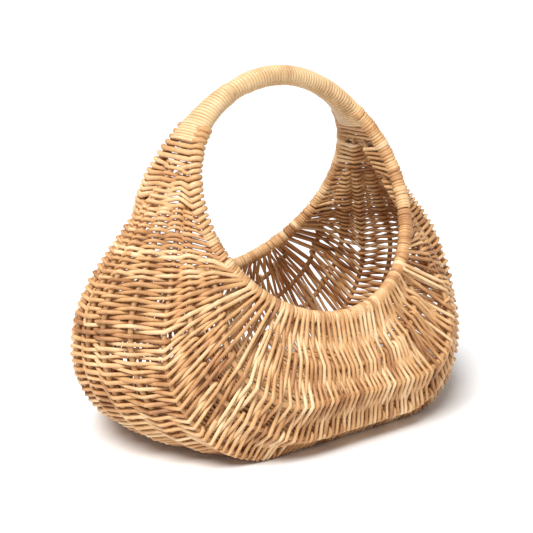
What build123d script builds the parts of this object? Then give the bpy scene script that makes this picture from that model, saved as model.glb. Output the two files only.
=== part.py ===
from build123d import *
import os
from math import cos, radians, sin, tan

# Willow frame basket (gondola shape), millimetres.
# +X runs along the basket and its handle, -Y is the front, +Z is up.
# The origin is on the ground, under the middle of the basket.

# Rim hoops: two round hoops that lie side by side over the top and spread apart below it.
HOOP_RADIUS = 125.0
HOOP_TOP = 342.0            # height of the hoop's centre line at the top of the handle
HOOP_CENTRE = (0, HOOP_TOP - HOOP_RADIUS)
HOOP_ROD = 3.6              # rod radius
HOOP_Y = 3.75               # half the distance between the two hoops in the handle
SPREAD_START = 12.0         # drop below the top where the hoops begin to part
SPREAD_SIDEWAYS = 103.0     # how far each hoop leans out at its lowest point
SPREAD_LIFT = 31.0          # how much height the lean takes away at the lowest point
SPREAD_POWER = 1.2
HOOP_POINTS = 24            # points on each half of a hoop that its curve runs through
HOOP_JOINT = 0.2            # degrees left between the hoop's ends and its lowest point

# Ribs: every rib lies in a plane through the line between the two ends of the handle.
FAN_X = 103.0               # half the distance between the handle's ends
FAN_Z = 289.0               # height of that line
RIB_ROD = 2.6
RIB_HEIGHT = 6.0            # height of the bottom ribs' centre lines over the ground

# Walls: the weaving is a band of this thickness, with the ribs in its middle.
WALL = 10.0
CLEARANCE = 0.4
GROUND_CUT = 0.5            # the bottom is lofted this much too low, then cut off at the ground

# Handle: filler rods above and below the hoops, and a lapping round all four.
FILLER_ROD = 2.6
FILLER_OFFSET = 5.15
FILLER_SPAN = 29.0          # degrees to each side of the top
LAP_CLEARANCE = 0.4
LAP_THICKNESS = 1.3

# name: (fan angle, flare of the straight sides, corner radius, start below the handle's end)
GROUND_RIBS = {
    "keel_rib": (0.0, 40.0, 105.0, 6.0),
    "inner_bottom_rib": (7.0, 39.2, 106.0, 58.0),
    "outer_bottom_rib": (14.3, 32.8, 105.0, 58.0),
    "chine_rib": (20.2, 23.4, 97.0, 58.0),
}
# name: (fan angle, flare, corner radius, start, depth below the handle's end)
SIDE_RIBS = {
    "lower_side_rib": (26.0, 18.4, 106.0, 60.0, 296.0),
    "upper_side_rib": (31.0, 10.7, 72.0, 104.0, 270.0),
}

# Belly: the flat crescent of wall between the rim and the upper side rib, with a short rib in it.
BELLY_FAN = 31.5
BELLY_CENTRE = 183.0        # the short rib is half an ellipse about this depth
BELLY_HALF_WIDTH = 98.0
BELLY_DEPTH = 62.0
BELLY_START = 126.0         # where the crescent's points end, below the handle's end
BELLY_WALL = 9.0
MOUTH_CENTRE = 72.4         # depth of the rim's centre in this plane
MOUTH_GAP = 1.2

# Shoulders: the walls near the handle's ends, between these angles on the rim hoop.
SHOULDER_SPAN = (68.0, 84.0)
SHOULDER_KEEL_GAP = 6.0
SHOULDER_RIM_GAP = 6.5

FRONT = 1
BACK = -1
SIDES = {"front": FRONT, "back": BACK}

os.makedirs("parts", exist_ok=True)


def save(piece, name):
    """Label a finished piece and write it as one STEP file."""
    piece.part.label = name
    export_step(piece.part, f"parts/{name}.step")


def hoop_point(angle, side):
    """Point on a hoop's centre line, at an angle in degrees from the top of the handle."""
    drop = HOOP_RADIUS * (1 - cos(radians(angle)))
    below = max(0.0, drop - SPREAD_START) / (2 * HOOP_RADIUS - SPREAD_START)
    spread = below**SPREAD_POWER
    x = HOOP_RADIUS * sin(radians(angle))
    y = -side * (HOOP_Y + SPREAD_SIDEWAYS * spread)
    z = HOOP_TOP - drop + SPREAD_LIFT * spread
    return Vector(x, y, z)


def fan_plane(angle, side, shift=0.0):
    """Plane through the line between the handle's ends, leaning out to one side.

    Its local Y points down along the wall. A positive shift moves it towards the keel.
    """
    lean = radians(side * angle)
    plane = Plane(origin=(0, 0, FAN_Z), x_dir=(1, 0, 0), z_dir=(0, cos(lean), -sin(lean)))
    return plane.offset(side * shift)


def ground_depth(angle, height, shift=0.0):
    """Depth in a fan plane of the line at a given height over the ground."""
    lean = radians(angle)
    return (FAN_Z - height - shift * sin(lean)) / cos(lean)


def rib_profile(flare, radius, start, depth, outward=0.0):
    """Corner points and radius of a rib: two leaning sides, moved outward, and a level bottom."""
    slope = tan(radians(flare))
    edge = FAN_X + outward / cos(radians(flare))
    top_x = edge + start * slope
    corner_x = edge + depth * slope
    points = [(-top_x, start), (-corner_x, depth), (corner_x, depth), (top_x, start)]
    return points, radius + outward


def bent_rod(path, radius):
    """A round rod of the given radius that follows a line."""
    with BuildPart() as piece:
        with BuildSketch(Plane(origin=path @ 0, z_dir=path % 0)):
            Circle(radius)
        sweep(path=path)
    return piece


def rib(angle, side, flare, radius, start, depth):
    """One bent rib rod."""
    points, corner = rib_profile(flare, radius, start, depth)
    with BuildLine(fan_plane(angle, side)) as path:
        FilletPolyline(*points, radius=corner)
    return bent_rod(path.wire(), RIB_ROD)


def rib_shape(name):
    """Fan angle, flare, corner radius, start and depth of a long rib."""
    if name in GROUND_RIBS:
        angle, flare, radius, start = GROUND_RIBS[name]
        return angle, flare, radius, start, ground_depth(angle, RIB_HEIGHT)
    return SIDE_RIBS[name]


def wall_outline(name, side, shift, start):
    """The wall's outline beside a rib: a band of even thickness that bends as the rib does."""
    angle, flare, radius, _, depth = rib_shape(name)
    outer_depth = depth + WALL / 2
    wall = WALL
    if name in GROUND_RIBS:
        outer_depth = ground_depth(angle, -GROUND_CUT, shift)
        wall = WALL / cos(radians(angle))
    half = WALL / 2
    outer, outer_corner = rib_profile(flare, radius, start, outer_depth, half)
    inner, inner_corner = rib_profile(flare, radius, start, outer_depth - wall, -half)
    with BuildSketch(fan_plane(angle, side, shift)) as outline:
        with BuildLine():
            FilletPolyline(*outer, radius=outer_corner)
            FilletPolyline(*inner, radius=inner_corner)
            Line(outer[0], inner[0])
            Line(outer[-1], inner[-1])
        make_face()
    return outline.sketch


def weave_strip(lower, upper, side, start):
    """The woven wall between two neighbouring ribs, cut level where it rests on the ground."""
    gap = RIB_ROD + CLEARANCE
    above_lower_rib = wall_outline(lower, side, -gap, start)
    below_upper_rib = wall_outline(upper, side, gap, start)
    with BuildPart() as piece:
        loft([above_lower_rib, below_upper_rib], ruled=True)
        split(bisect_by=Plane.XY, keep=Keep.TOP)
    return piece


def shoulder_outline(hoop_angle, side, end):
    """Level outline of the wall between the keel rib and a hoop, at one end of the handle."""
    rim = hoop_point(hoop_angle, side)
    flare = GROUND_RIBS["keel_rib"][1]
    keel = Vector(FAN_X + (FAN_Z - rim.Z) * tan(radians(flare)), -side * SHOULDER_KEEL_GAP)
    across = (Vector(rim.X, rim.Y) - keel).normalized()
    outward = Vector(across.Y, -across.X) * (WALL / 2)
    stop = Vector(rim.X, rim.Y) - across * SHOULDER_RIM_GAP
    corners = [keel + outward, stop + outward, stop - outward, keel - outward]
    with BuildSketch(Plane.XY.offset(rim.Z)) as outline:
        Polygon(*[(end * corner.X, corner.Y) for corner in corners], align=None)
    return outline.sketch


def rim_hoop(side):
    """One rod bent round into a hoop, whose two ends meet at its lowest point."""
    end = 180 - HOOP_JOINT
    angles = [end * k / HOOP_POINTS for k in range(-HOOP_POINTS, HOOP_POINTS + 1)]
    with BuildLine() as path:
        Spline(*[hoop_point(angle, side) for angle in angles])
    return bent_rod(path.wire(), HOOP_ROD)


def belly_path(side):
    """Centre line of the short rib that swells the wall under the rim."""
    with BuildLine(fan_plane(BELLY_FAN, side)) as path:
        EllipticalCenterArc((0, BELLY_CENTRE), BELLY_HALF_WIDTH, BELLY_DEPTH, arc_size=180)
    return path.wire()


def belly_weave(side):
    """The crescent of wall between the rim and the upper side rib, with the belly rib inside."""
    _, flare, radius, _, depth = rib_shape("upper_side_rib")
    inset = WALL / 2 + CLEARANCE
    outer, corner = rib_profile(flare, radius, BELLY_START, depth - inset, -inset)
    rib_line = belly_path(side)
    with BuildPart() as piece:
        with BuildSketch(fan_plane(BELLY_FAN, side)):
            with BuildLine():
                FilletPolyline(*outer, radius=corner)
                Line(outer[-1], outer[0])
            make_face()
            with Locations((0, MOUTH_CENTRE)):
                Circle(HOOP_RADIUS + HOOP_ROD + MOUTH_GAP, mode=Mode.SUBTRACT)
        extrude(amount=BELLY_WALL / 2, both=True)
        with BuildSketch(Plane(origin=rib_line @ 0, z_dir=rib_line % 0)):
            Circle(RIB_ROD + CLEARANCE)
        sweep(path=rib_line, mode=Mode.SUBTRACT)
    return piece


# ---------------------------------------------------------------- rim hoops
for side_name, side in SIDES.items():
    save(rim_hoop(side), f"{side_name}_rim_hoop")

# ---------------------------------------------------------------- handle
for filler_name, offset in (("upper", FILLER_OFFSET), ("lower", -FILLER_OFFSET)):
    with BuildLine(Plane.XZ) as filler_line:
        CenterArc(HOOP_CENTRE, HOOP_RADIUS + offset, 90 - FILLER_SPAN, 2 * FILLER_SPAN)
    save(bent_rod(filler_line.wire(), FILLER_ROD), f"handle_{filler_name}_filler_rod")

# name: (first angle, last angle, extra thickness), degrees from the top, right positive
LAPPINGS = {
    "handle_left_end_lapping": (-48.0, -27.0, 0.3),
    "handle_left_lapping": (-27.0, -17.0, -0.2),
    "handle_top_left_lapping": (-17.0, 3.0, 0.2),
    "handle_top_right_lapping": (3.0, 30.0, 0.0),
    "handle_right_end_lapping": (30.0, 50.0, 0.3),
}
LAP_SECTIONS = 5
LAP_GAP = 0.1               # degrees left free between two lappings


def lapping_outline(angle, thickness):
    """Draw the outline of the bundle of rods, grown by a thickness, across the handle."""
    middle = hoop_point(angle, FRONT)
    turn = radians(angle)
    plane = Plane(
        origin=(middle.X, 0, middle.Z), x_dir=(0, 1, 0), z_dir=(cos(turn), 0, -sin(turn))
    )
    half_width = -middle.Y + HOOP_ROD + LAP_CLEARANCE + thickness
    half_height = FILLER_OFFSET + FILLER_ROD + LAP_CLEARANCE + thickness
    with BuildSketch(plane) as outline:
        Ellipse(half_width, half_height)
    return outline.sketch


for name, (first, last, extra) in LAPPINGS.items():
    step = (last - first - 2 * LAP_GAP) / (LAP_SECTIONS - 1)
    angles = [first + LAP_GAP + step * k for k in range(LAP_SECTIONS)]
    with BuildPart() as lapping:
        loft([lapping_outline(angle, LAP_THICKNESS + extra) for angle in angles])
        loft([lapping_outline(angle, 0.0) for angle in angles], mode=Mode.SUBTRACT)
    save(lapping, name)

# ---------------------------------------------------------------- ribs
save(rib(0.0, FRONT, *rib_shape("keel_rib")[1:]), "keel_rib")
for name in [*GROUND_RIBS, *SIDE_RIBS]:
    if name == "keel_rib":
        continue
    for side_name, side in SIDES.items():
        angle, *shape = rib_shape(name)
        save(rib(angle, side, *shape), f"{side_name}_{name}")

for side_name, side in SIDES.items():
    save(bent_rod(belly_path(side), RIB_ROD), f"{side_name}_belly_rib")

# ---------------------------------------------------------------- weaving
# strip name: (lower rib, upper rib, start below the handle's end)
STRIPS = {
    "inner_bottom_weave": ("keel_rib", "inner_bottom_rib", 62.0),
    "middle_bottom_weave": ("inner_bottom_rib", "outer_bottom_rib", 62.0),
    "outer_bottom_weave": ("outer_bottom_rib", "chine_rib", 70.0),
    "lower_side_weave": ("chine_rib", "lower_side_rib", 72.0),
    "upper_side_weave": ("lower_side_rib", "upper_side_rib", 106.0),
}
for strip_name, (lower, upper, start) in STRIPS.items():
    for side_name, side in SIDES.items():
        save(weave_strip(lower, upper, side, start), f"{side_name}_{strip_name}")

for side_name, side in SIDES.items():
    save(belly_weave(side), f"{side_name}_belly_weave")
    for end_name, end in (("left", -1), ("right", 1)):
        with BuildPart() as shoulder:
            loft([shoulder_outline(angle, side, end) for angle in SHOULDER_SPAN], ruled=True)
        save(shoulder, f"{side_name}_{end_name}_shoulder_weave")
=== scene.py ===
"""Looks of a willow frame basket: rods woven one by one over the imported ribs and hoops, and a lapped handle."""
import math
import random

import bpy
import numpy as np
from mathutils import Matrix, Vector


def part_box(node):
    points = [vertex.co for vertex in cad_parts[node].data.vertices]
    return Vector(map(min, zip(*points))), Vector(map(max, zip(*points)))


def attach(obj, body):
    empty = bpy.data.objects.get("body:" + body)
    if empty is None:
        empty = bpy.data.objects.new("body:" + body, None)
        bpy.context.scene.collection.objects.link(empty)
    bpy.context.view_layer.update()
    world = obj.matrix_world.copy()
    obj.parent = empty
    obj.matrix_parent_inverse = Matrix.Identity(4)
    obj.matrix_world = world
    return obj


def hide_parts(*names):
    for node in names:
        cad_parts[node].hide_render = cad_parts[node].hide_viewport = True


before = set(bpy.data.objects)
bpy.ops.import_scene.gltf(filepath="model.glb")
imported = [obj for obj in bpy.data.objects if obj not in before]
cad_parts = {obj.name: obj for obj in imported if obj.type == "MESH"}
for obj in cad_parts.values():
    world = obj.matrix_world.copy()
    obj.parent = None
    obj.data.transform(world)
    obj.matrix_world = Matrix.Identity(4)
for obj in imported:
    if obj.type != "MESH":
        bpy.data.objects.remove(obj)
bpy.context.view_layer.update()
dice = random.Random(11)    # for the rods and the lapping; the short turns have their own

# ---------------------------------------------------------------- sizes, in metres
HOOP_LOW, HOOP_HIGH = (np.array(corner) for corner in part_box("front_rim_hoop"))
HOOP_ROD = 0.0036
HOOP_RADIUS = (HOOP_HIGH[0] - HOOP_LOW[0]) / 2 - HOOP_ROD
HOOP_TOP = HOOP_HIGH[2] - HOOP_ROD
HOOP_Y = 0.00375
SPREAD_START = 0.012
SPREAD_SIDEWAYS = 0.103
SPREAD_LIFT = 0.031
SPREAD_POWER = 1.2

FAN_X = 0.103               # half the distance between the handle's ends
FAN_Z = 0.289               # height of that line
RIB_ROD = 0.0026
RIB_HEIGHT = 0.006          # height of the bottom ribs' centre lines

# name: (fan angle, flare, corner radius, start, depth below the handle's ends), as in the CAD frame
RIBS = {
    "keel_rib": (0.0, 40.0, 0.105, 0.006, None),
    "inner_bottom_rib": (7.0, 39.2, 0.106, 0.058, None),
    "outer_bottom_rib": (14.3, 32.8, 0.105, 0.058, None),
    "chine_rib": (20.2, 23.4, 0.097, 0.058, None),
    "lower_side_rib": (26.0, 18.4, 0.106, 0.060, 0.296),
    "upper_side_rib": (31.0, 10.7, 0.072, 0.104, 0.270),
}
RIB_ORDER = list(RIBS)
BELLY_FAN = 31.5
BELLY_CENTRE = 0.183
BELLY_HALF_WIDTH = 0.098
BELLY_DEPTH = 0.062

# How finely a rib's left half is divided: its straight side, its corner and its bottom.
STRAIGHT_STEPS = 39
CORNER_STEPS = 59
FLAT_STEPS = 19
BELLY_POINTS = 60           # points on half a belly rib, and on the part of half a hoop that has rows
HOOP_POINTS = 150

# Rows of weaving on each half of the keel: down the leaning side, round the corner, and along the bottom.
HANDLE_ROWS = 12            # the first rows only bind the two hoops together
KEEL_BARE = 0.017           # the rows reach the keel rib this far below its upper end
SIDE_ROWS = 38
CORNER_ROWS = 66
BOTTOM_ROWS = 33
HALF_ROWS = HANDLE_ROWS + SIDE_ROWS + CORNER_ROWS + BOTTOM_ROWS
ROWS = 2 * HALF_ROWS
RIM_FIRST = 48.5            # where the first row crosses the hoops, in degrees from the top
SHORT_ROWS = (46, 140)      # among these rows many turns are made before the rim is reached
SHORT_TURN_SHARE = 0.56
SHORT_TURN_RIBS = (5, 4, 5, 4, 3, 5, 4)     # the ribs that short rows turn round, one after another
CHINE_RIB = 3
UPPER_RIB = 5
BELLY_RIB = 6
RIM = 7
BELLY_TURNS_FROM = 82       # from this row on, turns meant for the upper side rib go round the belly rib
TURN_SPREAD = (0.8, 1.2)    # how unevenly the short turns follow one another
RIM_PITCH = (1.12, 0.96, 1.04)     # relative spacing of the rows on the rim: sides, corners, bottom
RIM_PITCH_BLEND = 3         # rows over which that spacing changes
TRACK_END = 0.0015          # how far inside a rib's ends its outermost rows lie at first
SETTLING_END = 0.0005       # and how near to its ends they may settle
BELLY_END = 0.004           # no row crosses the belly rib nearer than this to its end
BELLY_MARGIN = 0.004        # above its ends the belly is narrower by this on each side
MEETING_SHARES = (0.05, 1.0, 60)   # where a row is tested between rim and rib: first and last share, tests
TIP_START = 0.014           # how far below the handle's ends the chine ribs' thin tips begin
RIB_START_GAP = 0.001       # the other ribs count from this far below their upper ends
RIB_ROWS_LATER = 3          # only the keel rib is crossed sooner than this many rows after the handle rows
UPPER_RIB_ROWS_LATER = 2    # the upper side rib is crossed this many rows later than its height asks for
LEVEL_FOOT = 0.012          # below this height rows are spaced evenly along the bottom ribs
ROW_STRAIGHTNESS = 0.20
ROW_EVENNESS = 0.30
SETTLING_STEPS = 160
SETTLING_RIBS = (1, 2, 4, 5)    # all but the keel rib, the chine ribs and the belly ribs
KEEL_BLUR = 9               # rows over which a change of spacing is smoothed, on the keel rib
LEVEL_BLUR = 13             # and on the chine ribs
TANGENT_STEP = 0.001

# Rods: radii from the handle's ends to the middle, and the rows over which they change.
THICK_WEAVER = 0.0021
MEDIUM_WEAVER = 0.00186
THIN_WEAVER = 0.00181
MEDIUM_BY = 30
THIN_FROM = 95
THIN_OVER = 40
SINGLE_WRAPS = 34           # the first rows at the left end go only once over the rim, with thick rods
FAT_WRAP = 1.22
ROD_LENGTH = 0.62
ROD_LENGTH_SPREAD = (0.6, 1.25)
HANDLE_SHORTENING = 0.55    # share by which the rods are shorter at the handle
HANDLE_OVER = 40            # rows over which they reach their full length
ROD_OVERLAP = 2             # steps of the path along which one rod and the next lie together
LAST_START = 4              # no rod starts nearer than this many points to the end of the path
BUTT = 1.14                 # thickness at the butt, relative to the rod's radius
TAPER = 0.30                # how much of it is lost towards the tip
THICKNESS_SPREAD = (0.88, 1.1)
TUBE_SIDES = 8

# How a rod lies on a rib, as shares of its radius or in metres.
ROD_SEAT = 0.92
WRAP_SEAT = 0.95
FLOOR_SEAT = 1.25           # least height of its centre over the floor
BEND_REACH = 0.0030         # length of the bend on each side of a rib
BEND_SHARE = 0.30           # or this share of the way to the next rib, where that is shorter
BEND_SOFTENING = 0.0007
ROW_SLIP = 0.00042          # chance shifts along the rib, and between the ribs
ROW_BOW = 0.0004
CORE_X = 0.3                # the wall's outward side faces away from a core inside the basket:
CORE_HEIGHT = 0.17          # this share of the point's own X, at this height

# Tones of the rods: mean and spread, with a few darker ones.
PALE_TONE = (0.64, 0.13)
DARK_TONE = (0.34, 0.07)
PALE_SHARE = 0.88
DARKEST = 0.15


def smooth(value):
    """Smooth step from 0 to 1."""
    value = min(1.0, max(0.0, value))
    return value * value * (3 - 2 * value)


def unit(vector):
    return vector / (np.linalg.norm(vector) + 1e-12)


# ---------------------------------------------------------------- curves of the frame
def hoop_point(angle, side):
    """Centre of a rim hoop at an angle in degrees from the top; side is 1 at the front, -1 at the back."""
    drop = HOOP_RADIUS * (1 - math.cos(math.radians(angle)))
    below = max(0.0, drop - SPREAD_START) / (2 * HOOP_RADIUS - SPREAD_START)
    spread = below**SPREAD_POWER
    return np.array([
        HOOP_RADIUS * math.sin(math.radians(angle)),
        -side * (HOOP_Y + SPREAD_SIDEWAYS * spread),
        HOOP_TOP - drop + SPREAD_LIFT * spread,
    ])


def fan_point(x, depth, angle, side):
    """A point given in a rib's own plane: across the basket, and down from the handle's ends."""
    lean = math.radians(angle)
    return np.array([x, -side * depth * math.sin(lean), FAN_Z - depth * math.cos(lean)])


def rib_line(name, side, start):
    """Points down the left half of a rib, from its start to the middle of the basket."""
    angle, flare, radius, _, depth = RIBS[name]
    if depth is None:
        depth = (FAN_Z - RIB_HEIGHT) / math.cos(math.radians(angle))
    tilt = math.radians(flare)
    slope = math.tan(tilt)
    turn = math.pi / 2 + tilt
    corner_x = FAN_X + depth * slope
    reach = radius * math.tan(turn / 2)
    centre_x, centre_depth = corner_x - reach, depth - radius
    last_straight = depth - reach * math.cos(tilt)
    flat = [(FAN_X + d * slope, d) for d in np.linspace(start, last_straight, STRAIGHT_STEPS + 1)]
    for bend in np.linspace(turn, 0.0, CORNER_STEPS + 1)[1:]:
        flat.append((centre_x + radius * math.sin(bend), centre_depth + radius * math.cos(bend)))
    flat += [(x, depth) for x in np.linspace(centre_x, 0.0, FLAT_STEPS + 1)[1:]]
    return [fan_point(-x, d, angle, side) for x, d in flat]


def belly_line(side):
    """Points down the left half of the belly rib."""
    line = []
    for bend in np.linspace(0.0, math.pi / 2, BELLY_POINTS):
        x = BELLY_HALF_WIDTH * math.cos(bend)
        line.append(fan_point(-x, BELLY_CENTRE + BELLY_DEPTH * math.sin(bend), BELLY_FAN, side))
    return line


def hoop_line(side):
    """Points down the left half of a rim hoop, from the first row to the lowest point."""
    return [hoop_point(-angle, side) for angle in np.linspace(RIM_FIRST, 180.0, HOOP_POINTS)]


class Track:
    """A rib or hoop measured by the length along it: zero in the middle, negative on the left."""

    def __init__(self, left_half, rod, first_row):
        right_half = [point * np.array([-1.0, 1.0, 1.0]) for point in reversed(left_half[:-1])]
        self.points = np.array(left_half + right_half)
        steps = np.linalg.norm(np.diff(self.points, axis=0), axis=1)
        lengths = np.concatenate([[0.0], np.cumsum(steps)])
        self.half = lengths[-1] / 2
        self.lengths = lengths - self.half
        self.rod = rod
        self.first_row = first_row
        self.rows = None        # the only rows that cross it, where these are known

    def at(self, length):
        found = [np.interp(length, self.lengths, self.points[:, axis]) for axis in range(3)]
        return np.stack(found, axis=-1)

    def direction(self, length):
        ahead = self.at(np.minimum(np.asarray(length) + TANGENT_STEP, self.half))
        behind = self.at(np.maximum(np.asarray(length) - TANGENT_STEP, -self.half))
        change = ahead - behind
        return change / (np.linalg.norm(change, axis=-1, keepdims=True) + 1e-12)


def keel_lengths():
    """Place of every row on the keel rib: even rows on the side, the corner and the bottom."""
    line = np.array(rib_line("keel_rib", 1, RIBS["keel_rib"][3]))
    steps = np.linalg.norm(np.diff(line, axis=0), axis=1)
    corner_end = STRAIGHT_STEPS + CORNER_STEPS
    side = steps[:STRAIGHT_STEPS].sum() - KEEL_BARE
    corner = steps[STRAIGHT_STEPS:corner_end].sum()
    bottom = steps[corner_end:].sum()
    gaps = np.concatenate([
        np.full(SIDE_ROWS, side / SIDE_ROWS),
        np.full(CORNER_ROWS, corner / CORNER_ROWS),
        np.full(BOTTOM_ROWS, bottom / BOTTOM_ROWS),
    ])
    blur = np.ones(KEEL_BLUR) / KEEL_BLUR
    gaps = np.convolve(np.pad(gaps, KEEL_BLUR // 2, mode="edge"), blur, mode="valid")
    gaps *= (side + corner + bottom) / gaps.sum()
    left = np.cumsum(gaps) - gaps / 2 - gaps.sum()
    left = np.concatenate([np.full(HANDLE_ROWS, left[0]), left])
    return np.concatenate([left, -left[::-1]])


def level_lengths(track):
    """Place of every row on a rib whose rows are level with the keel rib's, down to the bottom."""
    heights = TRACKS[0].at(KEEL[:HALF_ROWS])[:, 2]
    half = track.points[:len(track.points) // 2 + 1]
    places = np.interp(-heights, -half[:, 2], track.lengths[:len(half)])
    last = int(np.argmax(heights < LEVEL_FOOT))
    middle = HALF_ROWS - 0.5
    places[last:] = places[last] * (middle - np.arange(last, HALF_ROWS)) / (middle - last)
    blur = np.ones(LEVEL_BLUR) / LEVEL_BLUR
    padded = np.pad(places, LEVEL_BLUR // 2, mode="reflect", reflect_type="odd")
    smoothed = np.convolve(padded, blur, mode="valid")
    return np.concatenate([smoothed, -smoothed[::-1]])


def first_row_below(level):
    """The first row whose place on the keel rib is lower than this height, clear of the handle rows."""
    heights = TRACKS[0].at(KEEL[:HALF_ROWS])[:, 2]
    return max(HANDLE_ROWS + RIB_ROWS_LATER, int(np.argmax(heights < level)))


TRACKS = {0: Track(rib_line("keel_rib", 1, RIBS["keel_rib"][3]), RIB_ROD, HANDLE_ROWS)}
KEEL = keel_lengths()
for order, rib_name in enumerate(RIB_ORDER[1:], start=1):
    rib_start = TIP_START if rib_name == "chine_rib" else RIBS[rib_name][3] + RIB_START_GAP
    rib_level = FAN_Z - rib_start * math.cos(math.radians(RIBS[rib_name][0]))
    rib_first = first_row_below(rib_level) + (UPPER_RIB_ROWS_LATER if order == UPPER_RIB else 0)
    for side in (1, -1):
        TRACKS[side * order] = Track(rib_line(rib_name, side, rib_start), RIB_ROD, rib_first)
for side in (1, -1):
    TRACKS[side * BELLY_RIB] = Track(belly_line(side), RIB_ROD, 0)
    TRACKS[side * BELLY_RIB].rows = set()
    TRACKS[side * RIM] = Track(hoop_line(side), HOOP_ROD, 0)
ORDER = list(range(RIM, -RIM - 1, -1))


def choose_turns():
    """Spread the short turns evenly over the rows that have them, with no long run of them."""
    turn_dice = random.Random(4)
    turns = {}
    for side in (1, -1):
        owed, made = turn_dice.random(), 0
        for turn in range(HALF_ROWS):
            turns[(turn, side)] = RIM
            owed += SHORT_TURN_SHARE * turn_dice.uniform(*TURN_SPREAD)
            if owed >= 1.0:
                owed -= 1.0
                rib = SHORT_TURN_RIBS[made % len(SHORT_TURN_RIBS)]
                if rib == UPPER_RIB and 2 * turn >= BELLY_TURNS_FROM:
                    rib = BELLY_RIB
                turns[(turn, side)] = rib
                made += 1
    return turns


TURNS = choose_turns()


def turning_item(row, side):
    """The rib or hoop that a row turns round at the front (1) or the back (-1)."""
    first = row - row % 2 if side == 1 else row - (row + 1) % 2
    place = min(first, ROWS - 2 - first)
    if SHORT_ROWS[0] <= place < SHORT_ROWS[1]:
        return TURNS[(place // 2, side)]
    return RIM


def crossed(item, row):
    """Whether a row crosses a rib or hoop, or turns round it."""
    place = min(row, ROWS - 1 - row)
    track = TRACKS[item]
    if place < track.first_row or (track.rows is not None and row not in track.rows):
        return False
    side = 1 if item > 0 else -1
    return abs(item) <= turning_item(row, side)


def place_rows():
    """Where every row first crosses every rib and hoop, before the rows settle."""
    lengths = np.zeros((len(ORDER), ROWS))
    for place, item in enumerate(ORDER):
        rows = [row for row in range(ROWS) if crossed(item, row)]
        track = TRACKS[item]
        if item == 0:
            lengths[place] = KEEL
        elif abs(item) == CHINE_RIB:
            lengths[place] = level_lengths(track)
        elif rows:
            near = np.array([min(row, ROWS - 1 - row) for row in rows], dtype=float)
            gaps = np.ones(len(rows))
            if abs(item) == RIM:
                side_share = 1 / (1 + np.exp((near - SHORT_ROWS[0]) / RIM_PITCH_BLEND))
                bottom_share = 1 / (1 + np.exp((SHORT_ROWS[1] - near) / RIM_PITCH_BLEND))
                gaps = (RIM_PITCH[1] + (RIM_PITCH[0] - RIM_PITCH[1]) * side_share
                        + (RIM_PITCH[2] - RIM_PITCH[1]) * bottom_share)
            ends = np.cumsum(gaps)
            lengths[place, rows] = ((ends - gaps / 2) / ends[-1] * 2 - 1) * (track.half - TRACK_END)
    return lengths


def settle_rows(lengths):
    """Let every row lie nearly straight from rib to rib, evenly spaced along each rib."""
    present = rows_present()
    moving = [place for place, item in enumerate(ORDER) if abs(item) in SETTLING_RIBS]
    before = np.zeros_like(lengths, dtype=int)
    after = np.zeros_like(lengths, dtype=int)
    for row in range(ROWS):
        there = [place for place in range(len(ORDER)) if present[place, row]]
        for k, place in enumerate(there):
            before[place, row] = there[max(k - 1, 0)]
            after[place, row] = there[min(k + 1, len(there) - 1)]
    for _ in range(SETTLING_STEPS):
        places = np.stack([TRACKS[item].at(lengths[place]) for place, item in enumerate(ORDER)])
        for place in moving:
            track = TRACKS[ORDER[place]]
            rows = np.flatnonzero(present[place])
            here = places[place, rows]
            to_before = places[before[place, rows], rows] - here
            to_after = places[after[place, rows], rows] - here
            far_before = np.linalg.norm(to_before, axis=1) + 1e-6
            far_after = np.linalg.norm(to_after, axis=1) + 1e-6
            ends_here = (before[place, rows] == place) | (after[place, rows] == place)
            pull = to_before / far_before[:, None] + to_after / far_after[:, None]
            reach = far_before * far_after / (far_before + far_after)
            step = np.sum(pull * track.direction(lengths[place, rows]), axis=1) * reach
            step[ends_here] = 0.0
            current = lengths[place, rows]
            limit = track.half - SETTLING_END
            padded = np.concatenate([[-limit], current, [limit]])
            even = (padded[:-2] + padded[2:]) / 2 - current
            moved = current + ROW_STRAIGHTNESS * step + ROW_EVENNESS * even
            lengths[place, rows] = np.clip(moved, -track.half, track.half)
    return lengths


def rows_present():
    """Which rows cross which ribs and hoops."""
    return np.array([[crossed(item, row) for row in range(ROWS)] for item in ORDER])


def within_belly(point):
    """Whether a point of the wall lies inside the line of the belly rib, carried straight up from its ends."""
    down = (FAN_Z - point[2]) / math.cos(math.radians(BELLY_FAN)) - BELLY_CENTRE
    if down < 0:
        return abs(point[0]) < BELLY_HALF_WIDTH - BELLY_MARGIN
    return (point[0] / BELLY_HALF_WIDTH)**2 + (down / BELLY_DEPTH)**2 < 1


def meet_belly(lengths):
    """Find the rows that pass over the belly ribs or turn round them, and where they cross them."""
    shares = np.linspace(*MEETING_SHARES)
    for side in (1, -1):
        belly, rim, rib = (TRACKS[side * item] for item in (BELLY_RIB, RIM, UPPER_RIB))
        belly.rows = set()
        full = [row for row in range(ROWS) if crossed(side * RIM, row)]
        on_rim = np.interp(np.arange(ROWS), full, lengths[ORDER.index(side * RIM), full])
        for row in range(ROWS):
            if not crossed(side * UPPER_RIB, row) or turning_item(row, side) < BELLY_RIB:
                continue
            high = rim.at(on_rim[row])
            low = rib.at(lengths[ORDER.index(side * UPPER_RIB), row])
            inside = [within_belly(high + (low - high) * share) for share in shares]
            if not inside[0] or all(inside):
                continue
            met = high + (low - high) * shares[inside.index(False)]
            nearest = belly.lengths[np.argmin(np.linalg.norm(belly.points - met, axis=1))]
            if abs(nearest) < belly.half - BELLY_END:
                belly.rows.add(row)
                lengths[ORDER.index(side * BELLY_RIB), row] = nearest
    return lengths


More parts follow.
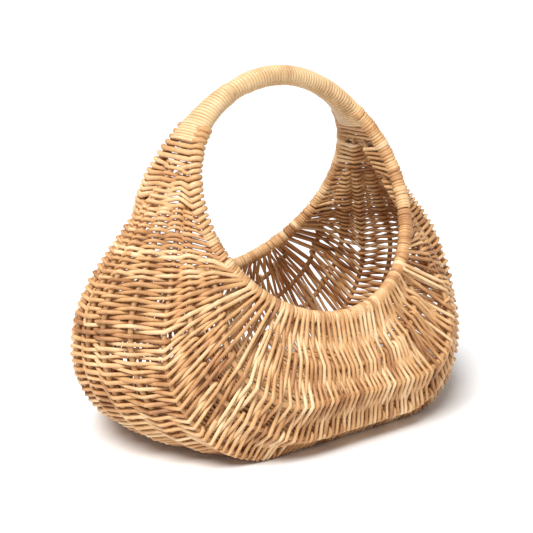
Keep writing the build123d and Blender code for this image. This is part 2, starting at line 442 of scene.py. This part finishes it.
# ---------------------------------------------------------------- one row of weaving
def weaver_radius(row):
    """Thick rods near the handle, thinner ones on the walls, the thinnest in the middle."""
    place = min(row, ROWS - 1 - row)
    first = THICK_WEAVER + (MEDIUM_WEAVER - THICK_WEAVER) * smooth(place / MEDIUM_BY)
    return first + (THIN_WEAVER - MEDIUM_WEAVER) * smooth((place - THIN_FROM) / THIN_OVER)


def row_crossings(row, lengths, present):
    """Centres, outward normals and sides of one row, from the front to the back."""
    items = [item for place, item in enumerate(ORDER) if present[place, row]]
    spots = []
    for item in items:
        slip = dice.gauss(0, ROW_SLIP)
        spots.append(lengths[ORDER.index(item), row] + slip)
    points = [TRACKS[item].at(spot) for item, spot in zip(items, spots)]
    tangents = [TRACKS[item].direction(spot) for item, spot in zip(items, spots)]
    count = len(points)
    normals, signs = [], []
    for k in range(count):
        across = points[min(k + 1, count - 1)] - points[max(k - 1, 0)]
        normal = unit(np.cross(tangents[k], across))
        core = np.array([points[k][0] * CORE_X, 0.0, CORE_HEIGHT])
        if np.dot(normal, points[k] - core) < 0:
            normal = -normal
        normals.append(normal)
        signs.append(1 if (items[k] + row) % 2 == 0 else -1)
    rods = [TRACKS[item].rod for item in items]
    return points, tangents, normals, signs, rods


def row_path(row, lengths, present, radius):
    """Points of one row between its turns: a short bend at each rib, and nearly straight between ribs."""
    points, tangents, normals, signs, rods = row_crossings(row, lengths, present)
    path = []
    count = len(points)
    for k in range(1, count - 1):
        lift = (rods[k] + radius * ROD_SEAT) * signs[k]
        centre = points[k] + normals[k] * lift
        back = points[k - 1] - points[k]
        on = points[k + 1] - points[k]
        reach_back = min(BEND_REACH, np.linalg.norm(back) * BEND_SHARE)
        reach_on = min(BEND_REACH, np.linalg.norm(on) * BEND_SHARE)
        soften = normals[k] * signs[k] * BEND_SOFTENING
        path.append(centre + unit(back) * reach_back - soften)
        path.append(centre)
        path.append(centre + unit(on) * reach_on - soften)
        if k + 1 < count - 1:
            middle = (points[k] + points[k + 1]) / 2
            bow = dice.gauss(0, ROW_BOW)
            path.append(middle + tangents[k] * bow)
    ends = []
    for k in (0, count - 1):
        neighbour = points[1] if k == 0 else points[-2]
        upward = points[k] - neighbour
        if rods[k] == HOOP_ROD:
            upward = upward - tangents[k] * np.dot(upward, tangents[k])
        ends.append((points[k], normals[k], unit(upward), signs[k], rods[k]))
    return path, ends


# A turn's points: how far along it has come from one row to the next, and the angle round the rod.
RIB_TURN = ((0.0, -20), (0.0, 15), (0.2, 50), (0.5, 90), (0.8, 130), (1.0, 165), (1.0, 200))
RIM_TURN = (
    (-0.1, -10), (-0.1, 20), (-0.05, 55), (0.0, 90), (0.05, 125), (0.1, 160), (0.15, 195), (0.3, 230),
    (0.5, 270), (0.7, 310), (0.85, 345), (0.9, 20), (0.95, 55), (1.0, 90), (1.05, 125), (1.1, 160), (1.1, 190),
)


def wrap_points(end, following, radius, twice):
    """A turn from the layer where one row ends to the other layer, once or twice over the rib or the rim."""
    centre, normal, upward, sign, rod = end
    next_centre, next_normal, next_upward, _, next_rod = following
    reach = rod + radius * WRAP_SEAT
    points = []
    for share, angle in RIM_TURN if twice and rod == next_rod == HOOP_ROD else RIB_TURN:
        middle = centre * (1 - share) + next_centre * share
        out = unit(normal * (1 - share) + next_normal * share)
        up = unit(upward * (1 - share) + next_upward * share)
        turn = math.radians(angle)
        points.append(middle + reach * (out * math.cos(turn) * sign + up * math.sin(turn)))
    return points


# ---------------------------------------------------------------- tubes
FIRST_SIDEWAYS = [0.3, 0.5, 0.81]   # any direction but the one in which a rod starts


class RodMesh:
    """Collects many bent rods in one mesh, with the rod's tone at every vertex."""

    def __init__(self, name):
        self.name = name
        self.vertices, self.faces, self.tones = [], [], []

    def add(self, points, radii, tone, flatness=1.0, outward=None):
        """Add one rod. Flatness squeezes it along the outward directions, for a flat strip."""
        points = np.array(points)
        count = len(points)
        sides = TUBE_SIDES
        forward = np.gradient(points, axis=0)
        forward /= np.linalg.norm(forward, axis=1)[:, None] + 1e-12
        frame_x = unit(np.cross(forward[0], FIRST_SIDEWAYS))
        base = len(self.vertices)
        for k in range(count):
            if outward is not None:
                frame_x = outward[k]
            frame_x = unit(frame_x - forward[k] * np.dot(frame_x, forward[k]))
            frame_y = np.cross(forward[k], frame_x)
            for j in range(sides):
                turn = 2 * math.pi * j / sides
                offset = frame_x * math.cos(turn) * flatness + frame_y * math.sin(turn)
                self.vertices.append(points[k] + offset * radii[k])
                self.tones.append(tone)
        for k in range(count - 1):
            for j in range(sides):
                a = base + k * sides + j
                b = base + k * sides + (j + 1) % sides
                self.faces.append((a, b, b + sides, a + sides))
        self.faces.append(tuple(base + j for j in reversed(range(sides))))
        self.faces.append(tuple(base + (count - 1) * sides + j for j in range(sides)))

    def build(self, material, slot, replaced):
        mesh = bpy.data.meshes.new(self.name)
        mesh.from_pydata([tuple(v) for v in self.vertices], [], self.faces)
        tone = mesh.attributes.new("rod_tone", "FLOAT", "POINT")
        tone.data.foreach_set("value", np.array(self.tones, dtype=np.float32))
        mesh.polygons.foreach_set("use_smooth", np.ones(len(mesh.polygons), dtype=bool))
        mesh.update()
        piece = bpy.data.objects.new(self.name, mesh)
        bpy.context.scene.collection.objects.link(piece)
        mesh.materials.append(material)
        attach(piece, "root")
        if replaced:
            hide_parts(*replaced)


# ---------------------------------------------------------------- materials
def node(tree, kind, **values):
    made = tree.nodes.new(kind)
    for key, value in values.items():
        if key in made.inputs:
            made.inputs[key].default_value = value
        else:
            setattr(made, key, value)
    return made


def colour_ramp(tree, stops):
    ramp = tree.nodes.new("ShaderNodeValToRGB")
    elements = ramp.color_ramp.elements
    while len(elements) < len(stops):
        elements.new(0.5)
    for element, (place, colour) in zip(elements, stops):
        element.position = place
        element.color = (*colour, 1.0)
    return ramp


BLOTCH_SCALE = 38.0
FIBRE_SCALE = 900.0
BLOTCH_LOW = 0.25           # between these values of the noise, a blotch moves the tone
BLOTCH_HIGH = 0.75
BLOTCH_REACH = 0.30         # up or down by this much
PLAIN_TONE = 0.5            # tone of a piece whose rods have none of their own
FIBRE_STRENGTH = 0.35
FIBRE_STOPS = [(0.3, (0.72, 0.62, 0.5)), (0.6, (1.0, 1.0, 1.0))]
SMOOTHER = 0.1              # roughness below and above the middle value
ROUGHER = 0.16
BUMP_STRENGTH = 0.25
BUMP_DEPTH = 0.0004
SPECULAR = 0.45


def willow(name, stops, use_tone, roughness=0.42):
    """Peeled willow: tone from rod to rod, blotches, fine fibres and a low gloss."""
    material = bpy.data.materials.new(name)
    material.use_nodes = True
    tree = material.node_tree
    shader = tree.nodes["Principled BSDF"]
    links = tree.links
    place = node(tree, "ShaderNodeTexCoord")
    blotches = node(tree, "ShaderNodeTexNoise", Scale=BLOTCH_SCALE, Detail=4.0, Roughness=0.6)
    links.new(place.outputs["Object"], blotches.inputs["Vector"])
    fibres = node(tree, "ShaderNodeTexNoise", Scale=FIBRE_SCALE, Detail=3.0, Roughness=0.7)
    links.new(place.outputs["Object"], fibres.inputs["Vector"])
    spread = node(tree, "ShaderNodeMapRange")
    spread.inputs["From Min"].default_value = BLOTCH_LOW
    spread.inputs["From Max"].default_value = BLOTCH_HIGH
    spread.inputs["To Min"].default_value = -BLOTCH_REACH
    spread.inputs["To Max"].default_value = BLOTCH_REACH
    links.new(blotches.outputs["Fac"], spread.inputs["Value"])
    total = node(tree, "ShaderNodeMath", operation="ADD")
    if use_tone:
        tone = node(tree, "ShaderNodeAttribute", attribute_name="rod_tone")
        links.new(tone.outputs["Fac"], total.inputs[0])
    else:
        total.inputs[0].default_value = PLAIN_TONE
    links.new(spread.outputs["Result"], total.inputs[1])
    ramp = colour_ramp(tree, stops)
    links.new(total.outputs["Value"], ramp.inputs["Fac"])
    fibre_mix = node(tree, "ShaderNodeMix", data_type="RGBA", blend_type="MULTIPLY")
    fibre_mix.inputs["Factor"].default_value = FIBRE_STRENGTH
    fibre_ramp = colour_ramp(tree, FIBRE_STOPS)
    links.new(fibres.outputs["Fac"], fibre_ramp.inputs["Fac"])
    links.new(ramp.outputs["Color"], fibre_mix.inputs["A"])
    links.new(fibre_ramp.outputs["Color"], fibre_mix.inputs["B"])
    links.new(fibre_mix.outputs["Result"], shader.inputs["Base Color"])
    gloss = node(tree, "ShaderNodeMapRange")
    gloss.inputs["To Min"].default_value = roughness - SMOOTHER
    gloss.inputs["To Max"].default_value = roughness + ROUGHER
    links.new(blotches.outputs["Fac"], gloss.inputs["Value"])
    links.new(gloss.outputs["Result"], shader.inputs["Roughness"])
    bump = node(tree, "ShaderNodeBump")
    bump.inputs["Strength"].default_value = BUMP_STRENGTH
    bump.inputs["Distance"].default_value = BUMP_DEPTH
    links.new(fibres.outputs["Fac"], bump.inputs["Height"])
    links.new(bump.outputs["Normal"], shader.inputs["Normal"])
    shader.inputs["Specular IOR Level"].default_value = SPECULAR
    return material


WEAVER_STOPS = [
    (0.0, (0.26, 0.103, 0.038)),
    (0.3, (0.46, 0.220, 0.088)),
    (0.6, (0.68, 0.390, 0.172)),
    (1.0, (0.90, 0.66, 0.39)),
]
LAPPING_STOPS = [
    (0.0, (0.42, 0.22, 0.09)),
    (0.5, (0.77, 0.53, 0.28)),
    (1.0, (0.89, 0.69, 0.43)),
]
ROD_STOPS = [
    (0.0, (0.34, 0.16, 0.06)),
    (0.5, (0.54, 0.30, 0.13)),
    (1.0, (0.68, 0.43, 0.22)),
]


# ---------------------------------------------------------------- the woven walls
def weave_walls():
    """Weave every row in one running path, turning round the rim or a rib after each row.

    Gives the path's points, with the rod's radius and the row at each point."""
    lengths = meet_belly(settle_rows(place_rows()))
    present = rows_present()
    path, radii, owner = [], [], []
    previous_end = None
    for row in range(ROWS):
        radius = weaver_radius(row)
        points, ends = row_path(row, lengths, present, radius)
        if row % 2 == 0:
            points.reverse()
            ends.reverse()
        if previous_end is not None:
            twice = row > SINGLE_WRAPS
            turn = wrap_points(previous_end, ends[0], radius, twice)
            path += turn
            radii += [radius if twice else radius * FAT_WRAP] * len(turn)
            owner += [row] * len(turn)
        path += points
        radii += [radius] * len(points)
        owner += [row] * len(points)
        previous_end = ends[1]
    return path, radii, owner


def cut_into_rods(path, radii, owner, meshes):
    """Cut the running path into rods that taper from butt to tip, each with its own tone."""
    place = 0
    count = len(path)
    tip_first = False
    while place < count - LAST_START:
        near_handle = 1 - smooth(min(owner[place], ROWS - 1 - owner[place]) / HANDLE_OVER)
        wanted = ROD_LENGTH * dice.uniform(*ROD_LENGTH_SPREAD) * (1 - HANDLE_SHORTENING * near_handle)
        last = place + 1
        length = 0.0
        while last < count - 1 and length < wanted:
            length += np.linalg.norm(path[last] - path[last - 1])
            last += 1
        stretch = path[place:last + 1]
        size = len(stretch)
        taper = [BUTT - TAPER * k / size for k in range(size)]
        if tip_first:
            taper.reverse()
        tip_first = not tip_first
        thickness = dice.uniform(*THICKNESS_SPREAD)
        stretch = [np.array([point[0], point[1], max(point[2], radii[place + k] * FLOOR_SEAT)])
                   for k, point in enumerate(stretch)]
        rod_radii = [radii[place + k] * taper[k] * thickness for k in range(size)]
        tone = dice.gauss(*(PALE_TONE if dice.random() < PALE_SHARE else DARK_TONE))
        tone = min(1.0, max(DARKEST, tone))
        group = min(len(meshes) - 1, owner[place] * len(meshes) // ROWS)
        meshes[group].add(stretch, rod_radii, tone)
        place = last - ROD_OVERLAP


# The pieces are cut by row, from left to right, and the CAD's panels by rib, from front to back. So all five
# pieces together stand for all the panels, and a piece's own list isn't the same stretch of wall.
WEAVE_GROUPS = {
    "weave_left_end": ["front_left_shoulder_weave", "back_left_shoulder_weave"],
    "weave_left_corner": ["front_inner_bottom_weave", "back_inner_bottom_weave",
                          "front_upper_side_weave", "back_upper_side_weave"],
    "weave_middle": ["front_belly_weave", "back_belly_weave",
                     "front_middle_bottom_weave", "back_middle_bottom_weave"],
    "weave_right_corner": ["front_outer_bottom_weave", "back_outer_bottom_weave",
                           "front_lower_side_weave", "back_lower_side_weave"],
    "weave_right_end": ["front_right_shoulder_weave", "back_right_shoulder_weave"],
}
weaver_material = willow("willow_weavers", WEAVER_STOPS, True)
weave_meshes = [RodMesh(name) for name in WEAVE_GROUPS]
cut_into_rods(*weave_walls(), weave_meshes)
for weave_mesh, replaced_nodes in zip(weave_meshes, WEAVE_GROUPS.values()):
    weave_mesh.build(weaver_material, "weave", replaced_nodes)

# ---------------------------------------------------------------- the lapped handle
# name: (first angle, last angle, height over the bundle of rods)
LAPPINGS = {
    "handle_left_end_lapping": (-48.0, -27.0, 0.0010),
    "handle_left_lapping": (-27.0, -17.0, 0.0003),
    "handle_top_left_lapping": (-17.0, 3.0, 0.0009),
    "handle_top_right_lapping": (3.0, 30.0, 0.0006),
    "handle_right_end_lapping": (30.0, 50.0, 0.0009),
}
LAP_PITCH = 0.0034
STRIP_HALF_WIDTH = 0.00176
STRIP_FLATNESS = 0.72
STRIP_TONES = (0.45, 0.75)
STRIP_WAVE = 0.06           # the strip's width varies by this share, and by this phase from point to point
STRIP_WAVE_STEP = 0.21
FILLER_REACH = 0.0080       # height of the bundle of rods over the hoops' centre lines
TURN_POINTS = 22
LAP_OVERLAP = 0.8           # degrees by which each stretch runs on into the next

# Collars of thinner strips, over the ends of the lapping. name: (first angle, last angle)
COLLARS = {
    "handle_left_collar": (-58.0, -47.6),
    "handle_right_collar": (49.6, 58.0),
}
COLLAR_HEIGHT = 0.0010
COLLAR_PITCH = 0.0029
COLLAR_HALF_WIDTH = 0.0015
COLLAR_FLATNESS = 0.8


def lapping(name, first, last, height, pitch=LAP_PITCH, half_strip=STRIP_HALF_WIDTH, flatness=STRIP_FLATNESS):
    """A split strip wound side by side round the hoops and filler rods."""
    mesh = RodMesh(name.replace("lapping", "coils"))
    turns = HOOP_RADIUS * math.radians(last - first) / pitch
    count = int(turns * TURN_POINTS)
    points, outward = [], []
    tone = dice.uniform(*STRIP_TONES)
    sideways = np.array([0.0, 1.0, 0.0])
    half_height = FILLER_REACH + height
    for k in range(count + 1):
        angle = first + (last - first) * k / count
        turn = 2 * math.pi * k / TURN_POINTS
        middle = hoop_point(angle, 1)
        half_width = -middle[1] + HOOP_ROD + height
        radial = np.array([math.sin(math.radians(angle)), 0.0, math.cos(math.radians(angle))])
        centre = np.array([middle[0], 0.0, middle[2]])
        offset = sideways * half_width * math.cos(turn) + radial * half_height * math.sin(turn)
        points.append(centre + offset)
        outward.append(unit(sideways * math.cos(turn) / half_width + radial * math.sin(turn) / half_height))
    radii = [half_strip * (1 + STRIP_WAVE * math.sin(k * STRIP_WAVE_STEP)) for k in range(count + 1)]
    mesh.add(points, radii, tone, flatness=flatness, outward=outward)
    return mesh


lapping_material = willow("split_willow_lapping", LAPPING_STOPS, True, roughness=0.38)
for lapping_name, (first_angle, last_angle, strip_height) in LAPPINGS.items():
    lapping(lapping_name, first_angle - LAP_OVERLAP, last_angle + LAP_OVERLAP, strip_height).build(
        lapping_material, "lapping", [lapping_name]
    )

for collar_name, (first_angle, last_angle) in COLLARS.items():
    lapping(
        collar_name, first_angle, last_angle, COLLAR_HEIGHT, COLLAR_PITCH, COLLAR_HALF_WIDTH, COLLAR_FLATNESS
    ).build(lapping_material, "lapping", [])


# ---------------------------------------------------------------- thin rib tips in the shoulders
TIP_RADIUS = 0.0012
TIP_POINTS = 12
TIP_ABOVE = 0.002           # how far the tips run up beyond TIP_START
TIP_INTO_RIB = 0.004        # and down into the CAD's rib
TIP_TONE = 0.5


def rib_tips():
    """The thin upper ends of the chine ribs, which run up between the rows to the handle's ends."""
    for side, side_name in ((1, "front"), (-1, "back")):
        mesh = RodMesh(f"{side_name}_chine_rib_tips")
        angle, flare, _, start, _ = RIBS["chine_rib"]
        for hand in (-1, 1):
            depths = np.linspace(TIP_START - TIP_ABOVE, start + TIP_INTO_RIB, TIP_POINTS)
            slope = math.tan(math.radians(flare))
            line = [fan_point(hand * (FAN_X + depth * slope), depth, angle, side) for depth in depths]
            mesh.add(line, np.linspace(TIP_RADIUS, RIB_ROD, TIP_POINTS), TIP_TONE)
        mesh.build(rod_material, "rods", [])


# ---------------------------------------------------------------- the CAD rods that stay
rod_material = willow("willow_ribs_and_hoops", ROD_STOPS, False)
rib_tips()
for node_name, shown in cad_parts.items():
    if "rib" in node_name or "hoop" in node_name or "filler" in node_name:
        shown.data.materials.clear()
        shown.data.materials.append(rod_material)


# ---------------------------------------------------------------- floor, light and camera
FLOOR_HALF = 14.0
FLOOR_GREY = 0.93
FLOOR_ROUGHNESS = 0.9
WORLD_STRENGTH = 0.34
LAMP_TARGET = (0.0, 0.0, 0.15)
KEY_PLACE = (-1.9, -1.1, 3.2)
KEY_POWER = 3.6
KEY_ANGLE = 30.0            # degrees across, for soft shadows
TOP_PLACE = (-0.5, 0.3, 1.9)
TOP_POWER = 9.0
TOP_SIZE = 1.4
CAMERA_AZIMUTH = -39.6      # degrees, from straight in front towards the left
CAMERA_ELEVATION = 13.9
CAMERA_DISTANCE = 1.46
CAMERA_TARGET = (0.0, 0.0, 0.162)
SENSOR = 36.0
IMAGE_SIDE = 533
FOCAL_LENGTH = 1460         # in pixels of the image, as are the two shifts
SHIFT_X = -7.5
SHIFT_Y = -11.1


def pale_floor():
    mesh = bpy.data.meshes.new("floor")
    half = FLOOR_HALF
    corners = [(-half, -half, 0), (half, -half, 0), (half, half, 0), (-half, half, 0)]
    mesh.from_pydata(corners, [], [(0, 1, 2, 3)])
    floor = bpy.data.objects.new("floor", mesh)
    bpy.context.scene.collection.objects.link(floor)
    material = bpy.data.materials.new("pale_floor")
    material.use_nodes = True
    shader = material.node_tree.nodes["Principled BSDF"]
    shader.inputs["Base Color"].default_value = (FLOOR_GREY, FLOOR_GREY, FLOOR_GREY, 1)
    shader.inputs["Roughness"].default_value = FLOOR_ROUGHNESS
    mesh.materials.append(material)


def lamp(name, kind, place, power, softness):
    """A sun that is so many degrees across, or a square lamp that is so many metres wide."""
    data = bpy.data.lights.new(name, kind)
    data.energy = power
    if kind == "SUN":
        data.angle = math.radians(softness)
    else:
        data.size = softness
    light = bpy.data.objects.new(name, data)
    light.location = place
    light.rotation_euler = (Vector(LAMP_TARGET) - Vector(place)).to_track_quat("-Z", "Y").to_euler()
    bpy.context.scene.collection.objects.link(light)


def studio():
    world = bpy.data.worlds.new("studio")
    bpy.context.scene.world = world
    world.use_nodes = True
    background = world.node_tree.nodes["Background"]
    background.inputs["Color"].default_value = (1.0, 1.0, 1.0, 1)
    background.inputs["Strength"].default_value = WORLD_STRENGTH
    lamp("key", "SUN", KEY_PLACE, KEY_POWER, KEY_ANGLE)
    lamp("top", "AREA", TOP_PLACE, TOP_POWER, TOP_SIZE)
    bpy.context.scene.view_settings.view_transform = "Standard"


def camera():
    """The camera stands in front and to the left, a little above the basket."""
    azimuth = math.radians(CAMERA_AZIMUTH)
    elevation = math.radians(CAMERA_ELEVATION)
    back = Vector((math.sin(azimuth) * math.cos(elevation), -math.cos(azimuth) * math.cos(elevation),
                   math.sin(elevation)))
    data = bpy.data.cameras.new("camera")
    data.sensor_width = SENSOR
    data.lens = SENSOR * FOCAL_LENGTH / IMAGE_SIDE
    data.shift_x = SHIFT_X / IMAGE_SIDE
    data.shift_y = SHIFT_Y / IMAGE_SIDE
    eye = bpy.data.objects.new("camera", data)
    eye.location = Vector(CAMERA_TARGET) + back * CAMERA_DISTANCE
    eye.rotation_euler = (-back).to_track_quat("-Z", "Y").to_euler()
    bpy.context.scene.collection.objects.link(eye)
    bpy.context.scene.camera = eye


pale_floor()
studio()
camera()
bpy.context.view_layer.update()
